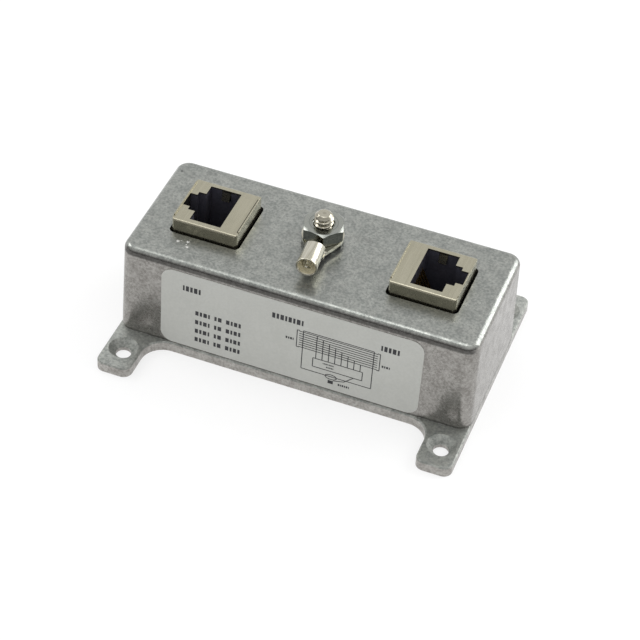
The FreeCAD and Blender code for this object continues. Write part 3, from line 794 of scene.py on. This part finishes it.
@dataclass
class GroundPost:
    """The stud with its thread and the hexagon nut on it."""

    pitch: float = 1.058 * MM
    rows_a_pitch: int = 14
    thread_radius: float = 2.08 * MM
    thread_depth: float = 0.5 * MM
    thread_reach: float = 12.5 * MM
    wave_top: float = 1.35
    wave_slope: float = 3.4
    head_height: float = 2.4 * MM
    head_rounds: Span = (0.25 * MM, 0.2 * MM)
    tip_height: float = 0.8 * MM
    tip_inset: float = 0.8 * MM
    tip_power: float = 1.3
    stud_columns: int = 96
    across_flats: float = 8.5 * MM
    face_share: float = 0.494
    chamfer_slope: float = math.tan(math.radians(30.0))
    edge_round: float = 0.07 * MM
    corner_turn: float = math.radians(-70.8)
    nut_bore: float = 2.13 * MM
    bore_chamfer: float = 0.3 * MM
    bore_round: Span = (0.08 * MM, 0.05 * MM)
    nut_columns: int = 144

    def build(self, dressing: Dressing) -> None:
        """Builds and dresses the stud and the nut."""
        dressing.dress(self.stud(), "nickel_steel", "case", stands_for="ground_stud")
        dressing.dress(self.nut(), "zinc_steel", "nut", stands_for="ground_nut")

    def stud(self) -> Object:
        """Works out the threaded stud.

        The radius at turn t and height h is the full radius less the thread's depth
        times a flat-topped triangle wave of h / pitch - t / (2 pi), which climbs one
        pitch a turn. The wave fades in over one pitch above the plain shank, and over
        the tip the radius is held under the full one less a rising power of the height.

        Returns:
            The stud, from its head inside the box to its tip.
        """
        low, high, centre = packed_box("ground_stud")
        full, tip = self.thread_radius, self.tip_height
        start, point = high[2] - self.thread_reach, high[2] - tip
        h = np.concatenate([[start - 0.02 * MM],
                            np.arange(start, point, self.pitch / self.rows_a_pitch),
                            point + tip * np.linspace(0, 1, 10)])
        turn = np.arange(self.stud_columns) / self.stud_columns
        phase = (h[:, None] / self.pitch - turn) % 1.0
        wave = np.clip(self.wave_top - np.abs(phase - 0.5) * self.wave_slope, 0.0, 1.0)
        fade = np.clip((h - start) / self.pitch, 0.0, 1.0)[:, None]
        rise = np.clip((h - point) / tip, 0.0, 1.0)[:, None]
        r = np.minimum(full - self.thread_depth * wave * fade,
                       full - self.tip_inset * rise ** self.tip_power)
        head, top = (high[0] - low[0]) / 2, low[2] + self.head_height
        under, over = self.head_rounds
        head_r = np.array([0.0, head - under, head, head, head - over, full])
        head_h = np.array([low[2], low[2], low[2] + under, top - over, top, top])
        cap = np.linspace(1.0, 0.0, 5)[1:, None] * r[-1:]
        radii = np.concatenate([np.outer(head_r, np.ones(self.stud_columns)), r, cap])
        heights = np.concatenate([head_h, h, np.full(len(cap), high[2])])
        surface = lathe(radii, heights, (centre[0], centre[1], 0.0), self.stud_columns)
        return make_object("ground_stud_threaded", *surface, 40.0, POLE)

    def nut(self) -> Object:
        """Works out the hexagon nut.

        The side at turn t is at half the flats' distance over cos of the turn from the
        nearest flat's middle. The chamfer is the cone that falls by its slope from the
        turned face's edge, so it meets each side in an arc that dips at the corners.

        Returns:
            The nut.
        """
        low, high, centre = packed_box("ground_nut")
        turn = turns(self.nut_columns)
        off_flat = (turn - self.corner_turn) % (math.pi / 3) - math.pi / 6
        side = self.across_flats / 2 / np.cos(off_flat)
        face = self.across_flats * self.face_share
        drop = (side - face) * self.chamfer_slope
        e, fall = self.edge_round, self.edge_round * self.chamfer_slope
        bore, sink = self.nut_bore, self.bore_chamfer
        out, down = self.bore_round
        bottom, top = low[2], high[2]
        rows = [
            (bore, bottom + sink), (bore + sink, bottom), (face, bottom),
            (side - e, bottom + drop - fall), (side, bottom + drop + e * 0.5),
            (side, top - drop - e * 0.5), (side - e * 0.3, top - drop + e * 0.1),
            (side - e, top - drop + fall), (face + e, top - fall), (face - e * 0.5, top),
            (bore + sink + out, top), (bore + sink, top - down), (bore, top - sink - down),
            (bore, bottom + sink),
        ]
        radii, heights = (np.array([np.broadcast_to(part, turn.shape) for part in parts])
                          for parts in zip(*rows))
        surface = lathe(radii, heights, (centre[0], centre[1], 0.0), self.nut_columns)
        return make_object("ground_nut_hexagon", *surface, 20.0)


@dataclass
class WireBarrel:
    """The flared end of the wire barrel, and the grooves in its bore that grip the wire."""

    reach: float = 13.1 * MM
    radius: float = 2.2 * MM
    bore_radius: float = 1.6 * MM
    wall_length: float = 4.8 * MM
    wall_stand_off: float = 0.01 * MM
    flare: float = 0.15 * MM
    flare_power: float = 1.6
    lip_round: float = 0.1 * MM
    lining: Span = (0.12 * MM, 4.6 * MM)
    back: float = -4.9 * MM
    bore_inset: float = 0.1 * MM
    mouth_flare: float = 0.5 * MM
    mouth_depth: float = 0.9 * MM
    groove: float = 0.08 * MM
    groove_length: float = 0.62 * MM
    columns: int = 96

    def build(self, dressing: Dressing) -> None:
        """Builds and dresses the end of the barrel and the lining of its bore.

        One closed profile goes out along the wall, which widens by a power of the distance,
        and over the lip. The other is a thin sleeve whose inside narrows by an exponential
        of the depth and dips by a rectified sine of it. Both are turned about the barrel's
        axis, which is level and leaves the stud at the terminal's turn.

        Args:
            dressing: hands out the finishes.
        """
        way = np.array([math.sin(TERMINAL_TURN), -math.cos(TERMINAL_TURN), 0.0])
        basis = np.stack([np.cross((0.0, 0.0, 1.0), way), (0.0, 0.0, 1.0), way])
        mouth = packed_box("ground_stud")[2] + way * self.reach
        mouth[2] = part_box("ring_terminal")[0][2] + self.radius
        inside = (self.radius + self.bore_radius) / 2
        along = np.linspace(0.0, 1.0, 12)
        wall = self.radius + self.wall_stand_off + self.flare * along ** self.flare_power
        wall_h = -self.wall_length * (1 - along) - self.lip_round
        depth = np.linspace(*self.lining, 60)
        wave = np.abs(np.sin(depth / self.groove_length * math.pi / 2))
        bore = (self.bore_radius - self.bore_inset + self.groove * wave
                + self.mouth_flare * np.exp(-depth / self.mouth_depth))
        lip = wall[-1] - np.array([0.04, 0.14, 0.24]) * MM
        lip_h = -np.array([0.02, 0.0, 0.02, 0.12, 0.5]) * MM
        edge, edge_h = bore[0] + 0.05 * MM, -depth[0] - 0.02 * MM
        profiles = (
            ("barrel_end", "tinned_copper", np.r_[inside, wall, lip, bore[0], inside, inside],
             np.r_[self.back, wall_h, lip_h, self.back]),
            ("barrel_bore", "barrel_bore", np.r_[edge, bore, inside, inside, edge],
             np.r_[edge_h, -depth, self.back, self.back * 0.2, edge_h]),
        )
        for name, finish, radii, heights in profiles:
            points, faces = lathe(radii, heights, (0.0, 0.0, 0.0), self.columns)
            piece = make_object(name, points @ basis + mouth, faces, 50.0)
            dressing.dress(piece, "tinned_copper", "terminal", finish)


@dataclass
class CoverScrews:
    """The countersunk screws of the base plate, with their driving recess."""

    head_radius: float = 3.0 * MM
    shank_radius: float = 1.5 * MM
    length: float = 9.0 * MM
    point: float = 0.3 * MM
    rim: Span = (0.06 * MM, 0.14 * MM)
    recess_turn: float = 0.4
    recess_depth: float = 1.1 * MM
    recess_rings: float = 2.1 * MM
    slot_half: float = 0.42 * MM
    slot_reach: float = 1.75 * MM
    slot_slopes: Span = (0.12 * MM, 0.7 * MM)
    columns: int = 64

    def build(self, dressing: Dressing) -> None:
        """Builds and dresses the four screws as one piece."""
        low, high, _ = packed_box("base_screws")
        xs, ys = zip(low[:2] + self.head_radius, high[:2] - self.head_radius)
        surface = joined([self.screw(x, y, low[2]) for x in xs for y in ys])
        piece = make_object("base_screw_set", *surface, 30.0, POLE)
        dressing.dress(piece, "zinc_steel", "case", stands_for="base_screws")

    def screw(self, x: float, y: float, bottom: float) -> Surface:
        """Works out one screw.

        Its flat head is a disc in which the depth of a point is the recess's depth
        where it lies inside either bar of a cross, easing off to nothing at the bars'
        sides and ends. The cone and the shank are turned.

        Args:
            x: middle of the screw.
            y: middle of the screw.
            bottom: height of the head's face.

        Returns:
            The points and quads.
        """
        turn = turns(self.columns) + self.recess_turn
        rings = np.r_[np.linspace(0.0, self.recess_rings, 22), 2.5 * MM, 2.9 * MM]
        px, py = np.outer(rings, np.cos(turn)), np.outer(rings, np.sin(turn))
        bars = []
        for along, across in ((px, py), (py, px)):
            beside = np.clip((self.slot_half - np.abs(across)) / self.slot_slopes[0], 0.0, 1.0)
            ahead = np.clip((self.slot_reach - np.abs(along)) / self.slot_slopes[1], 0.0, 1.0)
            bars.append(beside * ahead)
        depth = self.recess_depth * np.maximum(*bars)
        head, shank, end = self.head_radius, self.shank_radius, self.length
        side = np.array([(head, self.rim[0]), (head, self.rim[1]), (shank, head - shank),
                         (shank, end - self.point), (shank - self.point, end), (0.0, end)])
        round_about = np.ones(self.columns)
        radii = np.outer(np.r_[rings, side[:, 0]], round_about)
        heights = bottom + np.concatenate([depth, np.outer(side[:, 1], round_about)])
        return lathe(radii, heights, (x, y, 0.0), self.columns)


@dataclass
class CastingMarks:
    """Small raised specks that the mould left on the top.

    Each mark is x, y, radius and rise in millimetres.
    """

    level: float = 25.4 * MM
    marks: tuple[Mark, ...] = (
        (-29.29, -10.11, 0.46, 0.16), (-27.22, -9.53, 0.44, 0.15), (-28.6, -9.7, 0.22, 0.08),
        (-26.77, -11.11, 0.42, 0.13), (-27.2, -10.5, 0.24, 0.1),
    )
    unevenness: Span = (0.16, 0.1)
    rows: int = 7
    columns: int = 20

    def build(self, dressing: Dressing) -> None:
        """Builds and dresses the marks as one piece."""
        surface = joined([self.speck(*mark) for mark in self.marks])
        piece = make_object("casting_specks", *surface, 60.0, POLE)
        dressing.dress(piece, "cast_aluminium", "case", "bright_speck")

    def speck(self, x: float, y: float, radius: float, rise: float) -> Surface:
        """Works out one speck, whose height falls off as a raised cosine of the radius.

        Args:
            x: middle of the speck.
            y: middle of the speck.
            radius: its reach.
            rise: its height.

        Returns:
            The points and quads of the closed speck.
        """
        share = np.linspace(1.0, 0.0, self.rows)
        turn = turns(self.columns)
        broad, fine = self.unevenness
        uneven = 1.0 + broad * np.sin(3 * turn + 9 * x) + fine * np.sin(5 * turn + 7 * y)
        radii = np.outer(np.r_[0.0, share], uneven) * radius * MM
        dome = rise * 0.5 * (1 + np.cos(math.pi * share))
        heights = np.r_[-0.05, dome - 0.02] * MM + self.level
        return lathe(radii, heights, (x * MM, y * MM, 0.0), self.columns)


@dataclass
class FrontLabel:
    """The printed marks on the label film: plain bars and the outline of a wiring diagram.

    The drawing is in millimetres along the wall and up from the base. A rectangle is its
    left, right, low and high. A row of bars is its left, its middle's height, the height of
    a bar, and how many bars stand in each of its clusters.
    """

    stand_off: float = 0.012 * MM
    thickness: float = 0.02 * MM
    wall_lean: float = 0.55 / 25.4
    rows: tuple[tuple[float, float, float, tuple[int, ...]], ...] = (
        (-25.2, 19.0, 1.4, (5,)), (-4.8, 18.9, 1.4, (8,)), (19.6, 18.6, 1.4, (5,)),
        *((-22.2, middle, 1.15, (4, 2, 4)) for middle in (12.9, 10.4, 7.9, 5.5)),
        (-1.5, 13.9, 0.6, (4,)), (20.1, 13.6, 0.6, (4,)), (10.9, 4.75, 0.55, (6,)),
        (7.2, 9.5, 0.35, (9,)), (8.0, 8.7, 0.35, (6,)),
    )
    bar_widths: tuple[float, ...] = (0.62, 0.4, 0.74, 0.5, 0.66, 0.34, 0.7, 0.46)
    bar_size: float = 1.12
    bar_gap: float = 0.3
    cluster_gap: float = 0.75
    line: float = 0.2
    outer_box: Mark = (2.4, 18.2, 6.4, 17.0)
    inner_box: Mark = (4.9, 16.1, 7.9, 10.3)
    wires: int = 8
    wire_ends: Span = (1.5, 19.1)
    top_wire: float = 16.6
    wire_gap: float = 0.62
    first_tap: float = 5.5
    tap_gap: float = 10.0 / 7
    brackets: tuple[Span, Span] = ((1.0, 1.6), (19.6, 19.0))
    bracket_heights: Span = (12.1, 16.8)
    stud_mark: Mark = (8.6, 9.8, 4.4, 5.3)
    ellipse: Mark = (9.2, 6.3, 1.3, 0.65)
    lead: tuple[Span, ...] = ((9.7, 5.4), (12.2, 6.0), (14.2, 7.9))

    def build(self, dressing: Dressing) -> None:
        """Builds and dresses the print as one piece of thin blocks."""
        left, right, low, high = np.array(self.bars() + self.diagram()).T
        pairs = ((left, low), (right, low), (right, high), (left, high))
        upright = np.stack([np.stack(pair, axis=-1) for pair in pairs], axis=1)
        surface = self.blocks(np.concatenate([upright, self.slanted()]))
        piece = make_object("label_print", *surface, 30.0)
        dressing.dress(piece, "label_film", "case", "label_ink")

    def bars(self) -> list[Mark]:
        """Rows of short dark bars where captions stand, as rectangles."""
        bars = []
        for start, middle, size, clusters in self.rows:
            scale = min(size, self.bar_size) / self.bar_size
            for place, count in enumerate(clusters):
                for index in range(count):
                    pick = (index * 3 + place * 5 + count) % len(self.bar_widths)
                    width = self.bar_size * scale * self.bar_widths[pick]
                    bars.append((start, start + width, middle - size / 2, middle + size / 2))
                    start += width + self.bar_gap * scale
                start += self.cluster_gap * scale
        return bars

    def level(self, left: float, right: float, z: float) -> Mark:
        """A level line, as a rectangle."""
        return left, right, z - self.line / 2, z + self.line / 2

    def upright(self, x: float, low: float, high: float) -> Mark:
        """An upright line, as a rectangle."""
        return x - self.line / 2, x + self.line / 2, low, high

    def diagram(self) -> list[Mark]:
        """The straight lines of the diagram, as rectangles."""
        marks = [self.stud_mark]
        for left, right, low, high in (self.outer_box, self.inner_box):
            marks += [self.level(left, right, z) for z in (low, high)]
            marks += [self.upright(x, low, high) for x in (left, right)]
        for index in range(self.wires):
            z = self.top_wire - index * self.wire_gap
            marks.append(self.level(*self.wire_ends, z))
            marks.append(self.upright(self.first_tap + index * self.tap_gap, self.inner_box[3], z))
        for x, end in self.brackets:
            marks.append(self.upright(x, *self.bracket_heights))
            marks += [self.level(*sorted((x, end)), z) for z in self.bracket_heights]
        return marks

    def slanted(self) -> Array:
        """The lead from the small ellipse to the inner box, and the ellipse.

        Returns:
            The four corners of each short line, in order.
        """
        marks = []
        turn = np.linspace(0, 2 * math.pi, 17)
        x, z, width, height = self.ellipse
        ring = np.stack([x + width * np.cos(turn), z + height * np.sin(turn)], axis=-1)
        for path in (ring, np.array(self.lead)):
            for start, end in zip(path[:-1], path[1:]):
                along = (end - start) / np.hypot(*(end - start))
                side = np.array([-along[1], along[0]]) * self.line / 2
                marks.append([start - side, end - side, end + side, start + side])
        return np.array(marks)

    def blocks(self, corners: Array) -> Surface:
        """Raises each four-cornered mark from the film.

        The wall leans back by its draft, so the film's face at a height is as far back as
        its lowest point plus the rise times the lean. The front of a mark stands off from
        it by the ink's stand-off, and its back is sunk by the ink's thickness.

        Args:
            corners: marks, corners, then x and z in millimetres.

        Returns:
            The points and quads.
        """
        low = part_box("label")[0]
        x, z = corners[..., 0] * MM, corners[..., 1] * MM
        film = low[1] + (z - low[2]) * self.wall_lean
        front = np.stack([x, film - self.stand_off, z], axis=-1)
        back = np.stack([x, film + self.thickness, z], axis=-1)
        points = np.concatenate([front, back], axis=1).reshape(-1, 3)
        cube = np.array([(0, 1, 2, 3), (7, 6, 5, 4), (0, 4, 5, 1),
                         (1, 5, 6, 2), (2, 6, 7, 3), (3, 7, 4, 0)])
        starts = np.arange(len(corners)) * 8
        return points, (cube + starts[:, None, None]).reshape(-1, 4)


@dataclass
class Viewpoint:
    """The camera: a long lens, above and to the right of the front. Angles are degrees."""

    lens: float = 120.57
    sensor: float = 36.0
    azimuth: float = 17.88
    elevation: float = 42.75
    roll: float = 4.21
    across: float = 0.66 * MM
    up: float = 3.64 * MM
    distance: float = 473.8 * MM
    clip: Span = (0.01, 20.0)

    def build(self) -> None:
        """Sets the scene's camera.

        The camera's back points along azimuth and elevation, and its right and up are
        turned about that by the roll. It stands back by the distance from a point that is
        moved across and up from the origin.
        """
        a, e, r = (math.radians(angle) for angle in (self.azimuth, self.elevation, self.roll))
        back = Vector((math.sin(a) * math.cos(e), -math.cos(a) * math.cos(e), math.sin(e)))
        level = (-back).cross(Vector((0, 0, 1))).normalized()
        above = level.cross(-back)
        right = level * math.cos(r) + above * math.sin(r)
        up = above * math.cos(r) - level * math.sin(r)
        data = bpy.data.cameras.new("viewpoint")
        data.lens = self.lens
        data.sensor_width = self.sensor
        data.clip_start, data.clip_end = self.clip
        camera = linked("viewpoint", data)
        place = right * self.across + up * self.up + back * self.distance
        turned = Matrix((right, up, back)).transposed().to_4x4()
        camera.matrix_world = Matrix.Translation(place) @ turned
        bpy.context.scene.camera = camera


@dataclass
class Studio:
    """A pale floor, a soft surround and two soft panels.

    The spans of the surround are parts of a reflection's direction: upwards for a rise,
    towards the back for a depth, and to the right, with two strengths, for an across.
    """

    floor_size: float = 3.0
    paper: float = 0.8
    shade: float = 0.3
    mirrored: float = 0.68
    room_level: float = 1.0
    back_level: float = 1.0
    back_depth: Span = (-0.2, 0.15)
    front_levels: Span = (0.16, 0.84)
    front_rise: Span = (0.14, 0.84)
    overhead: float = 1.7
    strip_rise: Span = (0.86, 0.95)
    strip_depth: float = -0.06
    strip_reach: Span = (0.12, 0.36)
    strip_across: tuple[Mark, Mark] = ((-0.3, -0.16, 0.65, 1.6), (-0.06, 0.08, 1.0, 0.3))

    def build(self) -> None:
        """Builds the floor, the surround and the lamps."""
        self.floor()
        self.surround()
        self.lamp("right_panel", (0.6, 0.64, 0.45), 0.7, 5.0)
        self.lamp("left_panel", (-0.78, 0.08, 0.66), 0.4, 1.5)
        bpy.context.scene.view_settings.view_transform = "Standard"

    def floor(self) -> None:
        """Lays the floor.

        It is paper to the light, and to the camera its own white less a soft shadow.
        """
        half = self.floor_size / 2
        points = [(-half, -half, 0.0), (half, -half, 0.0), (half, half, 0.0), (-half, half, 0.0)]
        floor = make_object("floor", np.array(points), np.array([[0, 1, 2, 3]]))
        material, w, shader = start_material("floor_paper")
        shader.inputs["Roughness"].default_value = 0.9
        shader.inputs["Specular IOR Level"].default_value = 0.0
        rays = w.node("ShaderNodeLightPath").outputs
        mirrored = w.maths("MAXIMUM", rays["Is Glossy Ray"], rays["Is Transmission Ray"])
        seen = w.maths("MAXIMUM", rays["Is Camera Ray"], mirrored)
        paper = w.blend(seen, dimmed(WHITE, self.paper), dimmed(WHITE, self.shade))
        w.feed(shader.inputs["Base Color"], paper)
        glow = w.maths("ADD", w.times(rays["Is Camera Ray"], 1.0 - self.shade),
                       w.times(mirrored, self.mirrored))
        w.feed(shader.inputs["Emission Color"], WHITE)
        w.feed(shader.inputs["Emission Strength"], glow)
        floor.data.materials.append(material)

    def surround(self) -> None:
        """Builds the surround: white to the camera, even to soft light, a room to a reflection.

        A reflection sees white towards the back, a brighter strip overhead, and a front
        that is dark near the floor, by the depth and the height of its direction.
        """
        world = bpy.data.worlds.new("surround")
        bpy.context.scene.world = world
        world.use_nodes = True
        w = Wiring(world.node_tree)
        background = world.node_tree.nodes["Background"]
        way = w.node("ShaderNodeTexCoord").outputs["Generated"]
        depth, height = w.axis(way, "Y"), w.axis(way, "Z")
        front = w.span(height, *self.front_rise, *self.front_levels)
        room = w.span(depth, *self.back_depth, front, self.back_level)
        beside = w.maths("ABSOLUTE", w.maths("SUBTRACT", depth, self.strip_depth))
        strip = w.times(w.span(height, *self.strip_rise),
                        w.span(beside, *self.strip_reach, 1.0, 0.0),
                        *(w.span(w.axis(way, "X"), *part) for part in self.strip_across))
        room = w.maths("ADD", room, w.times(strip, self.overhead))
        rays = w.node("ShaderNodeLightPath").outputs
        level = w.blend(rays["Is Glossy Ray"], self.room_level, room, "FLOAT")
        seen = w.maths("MAXIMUM", rays["Is Camera Ray"], rays["Is Transmission Ray"])
        background.inputs["Color"].default_value = (*WHITE, 1.0)
        w.feed(background.inputs["Strength"], w.blend(seen, level, 1.0, "FLOAT"))

    def lamp(self, name: str, place: Point, size: float, watts: float) -> None:
        """Hangs a soft square lamp that faces the object.

        Args:
            name: name of the lamp.
            place: where it hangs.
            size: side of the square.
            watts: its power.
        """
        data = bpy.data.lights.new(name, "AREA")
        data.size = size
        data.energy = watts
        aim = Vector((0.0, 0.0, 20.0 * MM))
        facing = (aim - Vector(place)).to_track_quat("-Z", "Y").to_matrix().to_4x4()
        linked(name, data).matrix_world = Matrix.Translation(place) @ facing


def main() -> None:
    """Loads the frame and builds each sub-assembly in order."""
    logging.basicConfig(level=logging.INFO, format="%(message)s")
    for item in list(bpy.data.objects):
        bpy.data.objects.remove(item)
    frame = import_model()
    dressing = Dressing()
    PackedSolids(frame["nodes"]).build(dressing)
    GroundPost().build(dressing)
    WireBarrel().build(dressing)
    CoverScrews().build(dressing)
    CastingMarks().build(dressing)
    FrontLabel().build(dressing)
    Studio().build()
    Viewpoint().build()
    bpy.context.view_layer.update()


if __name__ == "__main__":
    main()
